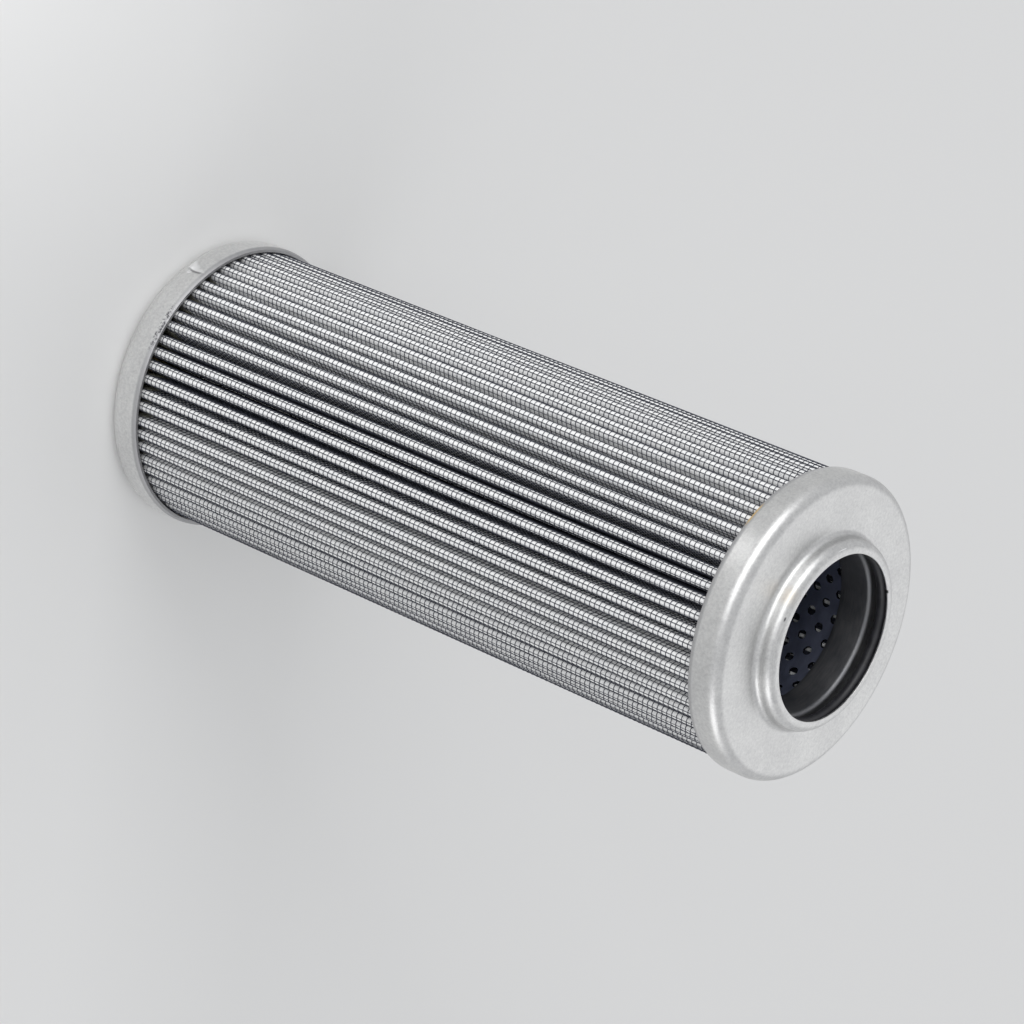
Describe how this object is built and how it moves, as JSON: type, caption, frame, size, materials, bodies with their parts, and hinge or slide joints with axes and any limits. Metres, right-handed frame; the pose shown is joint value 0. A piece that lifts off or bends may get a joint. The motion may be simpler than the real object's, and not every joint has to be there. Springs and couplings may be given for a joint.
{
  "type": "hydraulic filter element",
  "caption": "Pleated hydraulic filter element: mesh-covered pleats round a perforated core, with a closed end cap and an open end cap whose collar holds a seal ring.",
  "frame": {"origin": "middle of the closed end cap's flat face, on which the element stands", "axes": "+Z along the element's axis, from the closed end to the open end; the dent in the closed cap lies 51 degrees from +X towards -Y"},
  "size_m": [0.078, 0.078, 0.2094],
  "materials": {
    "plated_steel": "satin zinc plate with fine scratches",
    "seal_rubber": "smooth black",
    "bright_steel": "smooth drawn steel",
    "core_steel": "dull rolled steel",
    "coated_wire": "dark epoxy coat on woven wire",
    "white_fleece": "matt white fleece",
    "glass_fibre": "matt white fibre",
    "epoxy": "cured cast adhesive"
  },
  "bodies": {
    "root": {"closed_end_cap": "plated_steel", "open_end_cap": "plated_steel", "seal_ring": "seal_rubber", "seal_retainer": "bright_steel", "core_tube": "core_steel", "outer_wire_mesh": "coated_wire", "outer_fleece": "white_fleece", "glass_fibre_layer": "glass_fibre", "inner_fleece": "white_fleece", "inner_wire_mesh": "coated_wire", "closed_end_adhesive": "epoxy", "open_end_adhesive": "epoxy"}
  },
  "joints": []
}
